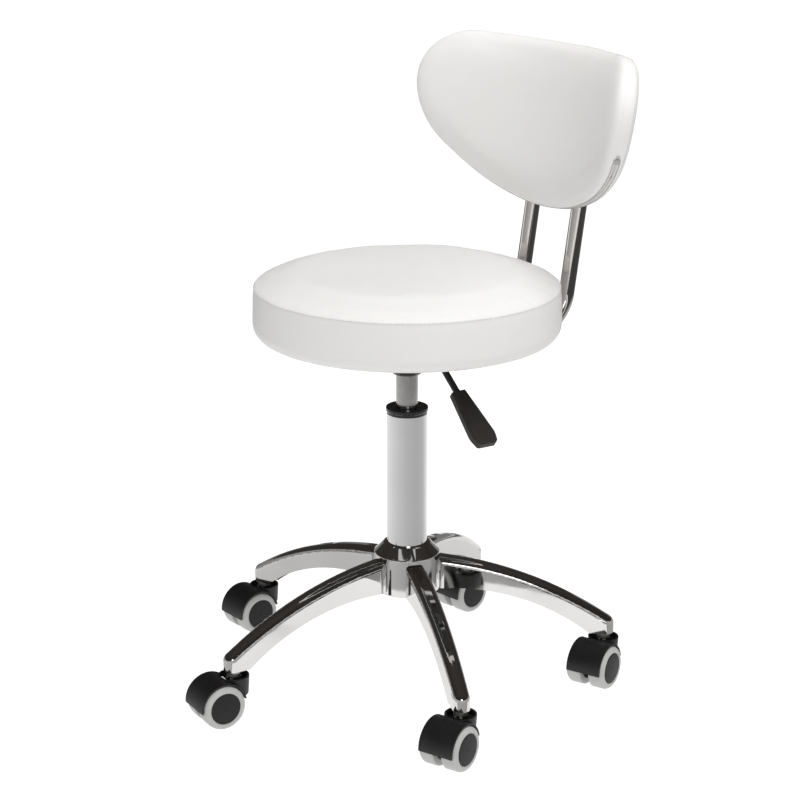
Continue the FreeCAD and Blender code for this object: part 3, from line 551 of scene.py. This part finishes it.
def add_staples():
    """A ring of wire staples that hold the edge of the dust cover under the board."""
    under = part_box("dust_cover")[0].z
    count, ring, half, wire = 54, 0.1565, 0.0055, 0.0004
    lower, upper = Vector((0, 0, under - wire * 0.6)), Vector((0, 0, under + 0.002))
    bends = ((-1, upper), (-1, lower), (-0.9, lower), (0.9, lower), (1, lower), (1, upper))
    paths = []
    for k in range(count):
        a = TAU * k / count + 0.03 * math.sin(5 * k)
        askew = a + 0.25 * math.sin(7 * k)
        middle = Vector((math.cos(a), math.sin(a), 0)) * (ring + 0.0008 * math.sin(11 * k))
        way = Vector((-math.sin(askew), math.cos(askew), 0))
        paths.append([middle + way * half * part + level for part, level in bends])
    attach(tubes_along("dust_cover_staples", paths, wire, ZINC), "seat")


# ---------------------------------------------------------------- backrest

# A D-shaped cushion bent round the sitter, with a boxing band and a zipper in it. Its points
# are u across and v up on the front face, and a depth behind that face.

BACK_CURVE, BACK_LEAN = 0.357, math.radians(10.5)
BACK_FOOT = Vector((0, 0.175, 0.586))
FRONT_SEAM, REAR_SEAM = 0.0160, 0.0286    # depths of the boxing's two edges
BACK_STITCHES = 0.0312                    # depth of the stitches behind the rear seam
ZIP_TOP = 0.079                           # height at which the zipper ends on both sides
ZIP_DEPTH, ZIP_LIPS = 0.0222, (0.0188, 0.0256)
BOXING_OUT = 0.004                        # how far outside the outline the boxing is sought
OUTLINE_STEPS = 720


def arc_between(start, end, radius, count):
    """Points on the arc to the end, turning left, without the end itself."""
    start, end = Vector(start), Vector(end)
    chord = end - start
    side = Vector((-chord.y, chord.x)).normalized()
    centre = (start + end) / 2 + side * math.sqrt(radius ** 2 - chord.length_squared / 4)
    a = math.atan2(start.y - centre.y, start.x - centre.x)
    b = math.atan2(end.y - centre.y, end.x - centre.x)
    b += TAU if b < a else 0
    turns = [a + (b - a) * k / count for k in range(count)]
    return [centre + Vector((math.cos(turn), math.sin(turn))) * radius for turn in turns]


def back_outline(count, inset):
    """Evenly spaced points round the D shape, counter-clockwise from the bottom."""
    half, corner, side, low = 0.1985 - inset, 0.064 - inset, 0.095 - inset, 0.130
    top, shoulder, rise = 0.199 - inset, 0.1955 - inset, 0.0035
    deep, reach = low - inset, half - side
    hang = (reach ** 2 + deep ** 2 - side ** 2) / (2 * (deep - side))
    part = hang / (hang - side)
    touch = (reach * part, inset + hang + (low - inset - hang) * part)
    flat = half - corner
    crown = (flat ** 2 + rise ** 2) / (2 * rise)
    # Each corner, and the radius of the arc that leaves it. None is a straight line.
    corners = [((0, inset), hang), (touch, side), ((half, low), None),
               ((half, shoulder - corner), corner), ((flat, shoulder), crown), ((0, top), crown),
               ((-flat, shoulder), corner), ((-half, shoulder - corner), None),
               ((-half, low), side), ((-touch[0], touch[1]), hang)]
    line = []
    for k, (spot, radius) in enumerate(corners):
        following = corners[(k + 1) % len(corners)][0]
        if radius is None:
            line += [Vector(spot).lerp(Vector(following), i / 12) for i in range(12)]
        else:
            line += arc_between(spot, following, radius, 40)
    line.append(line[0])
    reach = np.concatenate([[0], np.cumsum([(b - a).length for a, b in zip(line, line[1:])])])
    wanted = np.linspace(0, reach[-1], count, endpoint=False)
    across, up = [p.x for p in line], [p.y for p in line]
    return [(np.interp(w, reach, across), np.interp(w, reach, up)) for w in wanted]


def back_point(u, v, depth):
    """The place in the frame of a point of the backrest."""
    turn = math.asin(u / BACK_CURVE)
    y = (BACK_CURVE + depth) * math.cos(turn) - BACK_CURVE
    c, s = math.cos(BACK_LEAN), math.sin(BACK_LEAN)
    return BACK_FOOT + Vector(((BACK_CURVE + depth) * math.sin(turn), y * c + v * s,
                               v * c - y * s))


def back_local(p):
    """The u, v and depth of a place in the frame."""
    q = Vector(p) - BACK_FOOT
    c, s = math.cos(BACK_LEAN), math.sin(BACK_LEAN)
    u, v, y = q.x, q.z * c + q.y * s, q.y * c - q.z * s
    reach = math.hypot(u, y + BACK_CURVE)
    return BACK_CURVE * u / reach, v, reach - BACK_CURVE


def back_line(depth, start, end, count):
    """Points near the boxing at a depth, from start to end as parts of the outline."""
    outline = back_outline(OUTLINE_STEPS, -BOXING_OUT)
    picked = []
    for k in range(count + 1):
        w = (start + (end - start) * k / count) % 1.0 * OUTLINE_STEPS
        a, b = outline[int(w) % OUTLINE_STEPS], outline[(int(w) + 1) % OUTLINE_STEPS]
        t = w - int(w)
        picked.append(back_point(a[0] + (b[0] - a[0]) * t, a[1] + (b[1] - a[1]) * t, depth))
    return picked


def make_back():
    count = 176
    # The outline is pressed to this part of its height, about this height.
    squat, waist = 0.972, 0.1075
    outline = [Vector((p[0], waist + (p[1] - waist) * squat))
               for p in back_outline(count, -0.0030)]
    outward = []
    for k in range(count):
        ahead = outline[(k + 1) % count] - outline[k - 1]
        outward.append(Vector((ahead.y, -ahead.x)).normalized())
    middle = Vector((0, 0.110))
    inner = [p - n * 0.017 for p, n in zip(outline, outward)]

    def shrunk(part):
        return [middle + (p - middle) * part for p in inner]
    # Rows of the front face, of the rim as (outward, depth), and of the rear face.
    front = [0.05 + 0.95 * (k / 12) ** 0.9 for k in range(13)]
    rim = ((-0.0115, 0.0062), (-0.0078, 0.0071), (-0.0045, 0.0086), (-0.0020, 0.0107),
           (-0.0005, 0.0132), (0.0003, 0.0160), (0.0006, 0.0188), (0.0007, 0.0216),
           (0.0006, 0.0244), (0.0003, 0.0272), (-0.0007, 0.0299), (-0.0030, 0.0320),
           (-0.0070, 0.0335), (-0.0120, 0.0345))
    rear = (1.0, 0.84, 0.66, 0.48, 0.30, 0.12)
    loops = [(shrunk(part), 0.0036 + 0.0020 * part ** 4) for part in front]
    loops += [([p + n * away for p, n in zip(outline, outward)], depth) for away, depth in rim]
    loops += [(shrunk(part), 0.0348 + 0.0008 * (1 - part ** 2)) for part in rear]
    rings = [[tuple(back_point(p.x, p.y, depth)) for p in loop] for loop, depth in loops]
    pad = shell("backrest_cover", rings, LEATHER)
    puff_back(pad, front, len(rings), len(front) + len(rim) - 1, count)
    subdivide(pad, 2)
    return pad


def puff_back(pad, front, rows, rear_edge, count):
    """Swells the backrest, then smooths its front face by a polynomial and evens out its rim."""
    seam_rows = (len(front) + 5, len(front) + 9)
    rim_start = 8                    # the first row that is evened out
    on_front = len(front) * count
    front_middle, rear_middle = rows * count, rows * count + 1
    held = [row * count + i for row in seam_rows for i in range(count)]
    held += [*range(rear_edge * count, rows * count), rear_middle]
    before, shift = puff(pad, held, pressure=3.0, cap=0.0032)
    u, v = before[:, 0], before[:, 2] - 0.70
    face = np.arange(len(before)) < on_front
    face[front_middle] = True
    terms = np.stack([(u / 0.2) ** i * (v / 0.1) ** j for i in range(5) for j in range(5 - i)], 1)
    smooth = terms @ np.linalg.lstsq(terms[face], shift[face], rcond=None)[0]
    # The share of its own move that a point keeps grows from none in the middle to all.
    own = np.ones(len(before))
    own[:on_front] = np.repeat(np.array(front) ** 8, count)
    own[front_middle] = 0
    shift[face] = smooth[face] * (1 - own[face, None]) + shift[face] * own[face, None]
    even_out(shift[:rows * count].reshape(rows, count, 3)[rim_start:rear_edge], 40)
    set_points(pad, before + shift)


def back_shift(p, n):
    """How far a point of the backrest goes out: seam grooves, zipper channel and soft hollows."""
    u, v, depth = back_local(p)
    front, rear = bell(depth - FRONT_SEAM, 0.0012), bell(depth - REAR_SEAM, 0.0011)
    facing = Vector((-u, -math.sqrt(max(BACK_CURVE ** 2 - u ** 2, 0)), 0)).normalized()
    rim = min(1, max(0, (1 - abs(Vector(n).dot(facing)) - 0.35) / 0.3))
    shift = -0.0009 * rear * rim - 0.0004 * front * rim
    if v < ZIP_TOP + 0.004:
        shift -= 0.0010 * rim * math.exp(-((depth - ZIP_DEPTH) / 0.0030) ** 4)
    spot = Vector((u * 8, v * 8, depth * 20))
    shift += 0.0012 * noise.noise(spot + Vector((4, 1, 7))) * (0.35 + 0.65 * (1 - rim))
    shift += 0.0004 * noise.noise(spot * 3.2) * rim
    shift += 0.0005 * noise.noise(spot * 4.6 + Vector((9, 2, 5))) * max(front, rear)
    return shift


def tube_line(side):
    """A point on the leaning part of a backrest tube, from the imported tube's box, and its way."""
    low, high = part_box("backrest_tube_left" if side > 0 else "backrest_tube_right")
    way = Vector((0, math.sin(TUBE_LEAN), math.cos(TUBE_LEAN)))
    middle = Vector(((low.x + high.x) / 2, high.y - TUBE_RADIUS * math.cos(TUBE_LEAN),
                     high.z - TUBE_RADIUS * math.sin(TUBE_LEAN)))
    return middle, way


def press_beds(pad):
    """The beds that the two tubes press into the rear face of the backrest."""
    clear, soft = 0.0004, 0.004
    beside, above, below = 0.03, 0.02, 0.14    # how far from a tube's end its bed can be
    tubes = [tube_line(1), tube_line(-1)]
    points = points_of(pad)
    for k, p in enumerate(points):
        for foot, way in tubes:
            off = Vector(p) - foot
            along = off.dot(way)
            if abs(off.x) > beside or along > above or along < -below:
                continue
            off -= way * along
            gap = off.length - TUBE_RADIUS - clear
            if gap < soft and off.y < soft:
                points[k, 1] -= (soft - gap) ** 2 / (4 * soft) if gap > -soft else -gap
    set_points(pad, points)


def make_zipper(skin):
    """Two folded lips with a coil between them in the boxing, and a small slider at its end."""
    outline = back_outline(OUTLINE_STEPS, -BOXING_OUT)
    start = next(k for k, p in enumerate(outline) if p[1] > ZIP_TOP) / OUTLINE_STEPS
    end = -start
    lip_points, loops, tape_step = 260, 420, 6
    lips = [[spot for spot, _ in laid_on(skin, back_line(depth, start, end, lip_points))]
            for depth in ZIP_LIPS]
    middle = laid_on(skin, back_line(ZIP_DEPTH, start, end, loops))
    coil = []
    for k in range(loops):
        (a, n), (b, _) = middle[k], middle[k + 1]
        ahead = (b - a).normalized()
        across = n.cross(ahead).normalized() * (0.0011 if k % 2 else -0.0011)
        coil.append([a - across * 0.35, a + across * 0.6 + n * 0.0005, a + across * 1.1])
    tape = [p - n * 0.0009 for p, n in middle[::tape_step]]
    # The lips wear the darker grey-brown, painted shade of the folds.
    made = [tubes_along("zipper_lips", lips, 0.0007, ZIP_LIP_SHADE, 8),
            tubes_along("zipper_coil", coil, 0.00042, ZIP, 5),
            tubes_along("zipper_tape", [tape], 0.0016, THREAD, 8)]
    for piece in made:
        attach(piece, "seat")
    make_slider(*middle[2], (middle[0][0] - middle[6][0]).normalized())


def make_slider(spot, normal, ahead):
    """Zipper slider with a short pull that lies on the boxing, pointing up."""
    across = normal.cross(ahead).normalized()
    # Half of its outline, as (ahead, across), and its foot and top above the boxing.
    outline = [(-0.0022, 0.0022), (0.0000, 0.0026), (0.0028, 0.0025), (0.0036, 0.0016)]
    foot, top = 0.0002, 0.0018
    ring = outline + [(x, -w) for x, w in reversed(outline)]
    vertices = [spot + ahead * x + across * w + normal * h for h in (foot, top) for x, w in ring]
    n = len(ring)
    faces = [tuple(range(n)), tuple(reversed(range(n, 2 * n)))]
    faces += [(i, (i + 1) % n, n + (i + 1) % n, n + i) for i in range(n)]
    body = new_object("zipper_slider", vertices, faces, ZIP)
    bevel = body.modifiers.new("round", "BEVEL")
    bevel.width, bevel.segments = 0.0006, 3
    loop = [spot + ahead * 0.0020 - across * 0.0010 + normal * 0.0020]
    for k in range(13):
        a = math.radians(-90 + 15 * k)
        loop.append(spot + ahead * (0.0080 + 0.0015 * math.cos(a))
                    + across * 0.0015 * math.sin(a) + normal * 0.0014)
    loop.append(spot + ahead * 0.0020 + across * 0.0010 + normal * 0.0020)
    pull = tubes_along("zipper_pull", [loop], 0.0005, ZIP, 8)
    for piece in (body, pull):
        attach(piece, "seat")


make_seat()
back = make_back()
reshape(back, back_shift)
press_beds(back)
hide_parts("backrest_cushion")
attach(back, "seat")
back_skin = skin_of(back)
make_zipper(back_skin)
thread = stitches("back_stitching", back_line(BACK_STITCHES, 0, 1, 500), back_skin, 0.00034)
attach(thread, "seat")


# ---------------------------------------------------------------- camera, floor and light

def add_camera():
    data = bpy.data.cameras.new("camera")
    data.sensor_width = 36
    data.lens = 92.88
    camera = bpy.data.objects.new("camera", data)
    camera.location = (2.030, -1.296, 1.096)
    camera.rotation_euler = (math.radians(73.03), 0, math.radians(57.65))
    bpy.context.scene.collection.objects.link(camera)
    bpy.context.scene.camera = camera


def plain(name, color, emission=0.0):
    p = Paint(name, color, 0.6, 0.0, Emission_Color=(1, 1, 1, 1), Emission_Strength=emission)
    return p.material


def level_square(half, height):
    """Points and face of a level square round the axis."""
    corners = [(-half, -half), (half, -half), (half, half), (-half, half)]
    return [(x, y, height) for x, y in corners], [(0, 1, 2, 3)]


def level_ring(inner, outer, height):
    """Points and faces of a flat ring round the axis."""
    steps = 48
    angles = [-math.pi + TAU * k / steps for k in range(steps + 1)]
    points = [(r * math.cos(a), r * math.sin(a), height) for a in angles for r in (inner, outer)]
    return points, [(2 * k, 2 * k + 1, 2 * k + 3, 2 * k + 2) for k in range(steps)]


def round_wall(radius, low, high):
    """Points and faces of an upright round wall."""
    steps = 64
    points = [(radius * math.cos(TAU * k / steps), radius * math.sin(TAU * k / steps), z)
              for k in range(steps) for z in (low, high)]
    return points, [(2 * k, 2 * k + 1, (2 * k + 3) % (2 * steps), (2 * k + 2) % (2 * steps))
                    for k in range(steps)]


def gradient_card():
    """A floor card for reflections: white behind the stool, grey in front, dark far away."""
    p = Paint("gradient_card", (0.0, 0.0, 0.0), 1.0, 0.0, Specular_IOR_Level=0.0)
    x = p.node("SeparateXYZ", "X", Vector=p.coordinates)
    y = x.node.outputs["Y"]
    ramp = p.tree.nodes.new("ShaderNodeValToRGB")
    p.tree.links.new(p.ramp(p.math("ARCTAN2", y, x), -math.pi, math.pi), ramp.inputs["Fac"])
    # Parts of a full turn from -X, and the shade there.
    stops = ((0.0, 0.95), (0.14, 0.82), (0.27, 0.68), (0.41, 0.56), (0.56, 0.50), (0.68, 0.55),
             (0.82, 1.0), (1.0, 0.95))
    for place, _ in stops[1:-1]:
        ramp.color_ramp.elements.new(place)
    for element, (place, shade) in zip(ramp.color_ramp.elements, stops):
        element.position = place
        element.color = (shade, shade, shade, 1)
    reach = p.math("SQRT", p.math("ADD", p.math("MULTIPLY", x, x), p.math("MULTIPLY", y, y)))
    near = p.ramp(reach, 0.34, 0.60, 0.86, 1.0)
    far = p.ramp(reach, 1.25, 1.75, 1.0, 0.15)
    p.set("Emission Color", ramp.outputs["Color"])
    p.set("Emission Strength", p.math("MULTIPLY", near, far))
    return p.material


def softbox(name, centre, size, power):
    """A rectangular lamp that faces the middle of the stool."""
    light = bpy.data.lights.new(name, "AREA")
    light.shape = "RECTANGLE"
    light.size, light.size_y = size
    light.energy = power
    made = bpy.data.objects.new(name, light)
    made.location = centre
    aim = Vector((0, 0, 0.5))
    made.rotation_euler = (aim - Vector(centre)).to_track_quat("-Z", "Y").to_euler()
    bpy.context.scene.collection.objects.link(made)
    return made


def add_world():
    """A white sky that is a little brighter towards one side."""
    world = bpy.data.worlds.new("studio")
    bpy.context.scene.world = world
    world.use_nodes = True
    tree = world.node_tree
    way = tree.nodes.new("ShaderNodeTexCoord").outputs["Generated"]
    lean = tree.nodes.new("ShaderNodeVectorMath")
    lean.operation = "DOT_PRODUCT"
    lean.inputs[1].default_value = (0.25, -0.10, 0.08)
    shade = tree.nodes.new("ShaderNodeMath")
    shade.operation = "ADD"
    shade.inputs[1].default_value = 0.46
    tree.links.new(way, lean.inputs[0])
    tree.links.new(lean.outputs["Value"], shade.inputs[0])
    tree.links.new(shade.outputs["Value"], tree.nodes["Background"].inputs["Strength"])
    tree.nodes["Background"].inputs["Color"].default_value = (1, 1, 1, 1)


def add_studio():
    """A white floor and backdrop, and round the stool what only its chrome mirrors."""
    black, half = (0.0, 0.0, 0.0), 30
    floor = new_object("floor", *level_square(half, 0), plain("floor", (0.30, 0.30, 0.30), 0.92))
    floor.visible_diffuse = False
    # Light from the floor, on its own plane, so that its strength on the stool can be set.
    bounce = new_object("bounce", *level_square(half, -0.002), plain("bounce", black, 0.90))
    bounce.visible_camera = bounce.visible_glossy = bounce.visible_shadow = False
    backdrop = new_object("backdrop", *round_wall(29, 0, 30), plain("backdrop", black, 1.0))
    backdrop.visible_diffuse = backdrop.visible_glossy = backdrop.visible_shadow = False
    dark = plain("dark_ceiling", (0.045, 0.036, 0.030))
    ceiling = new_object("ceiling", *level_square(3.5, 0), dark)
    ceiling.location = (0, 0, 3.2)
    ceiling.rotation_euler = Vector((0, 0, -1)).to_track_quat("Z", "Y").to_euler()
    card = new_object("grey_card", *level_ring(0.34, 7.0, 0.004), gradient_card())
    wall = new_object("dark_wall", *round_wall(3.4, 0.75, 3.3), dark)
    for thing in (ceiling, card, wall):
        thing.visible_camera = thing.visible_shadow = thing.visible_diffuse = False
    softbox("key", (2.9, -1.3, 1.2), (1.0, 0.8), 7)
    top = softbox("top", (0.5, 0.1, 2.8), (1.6, 1.2), 39)
    top.visible_glossy = False
    bpy.context.scene.view_settings.view_transform = "Standard"


add_camera()
add_world()
add_studio()

# ---------------------------------------------------------------- end

bpy.context.view_layer.update()
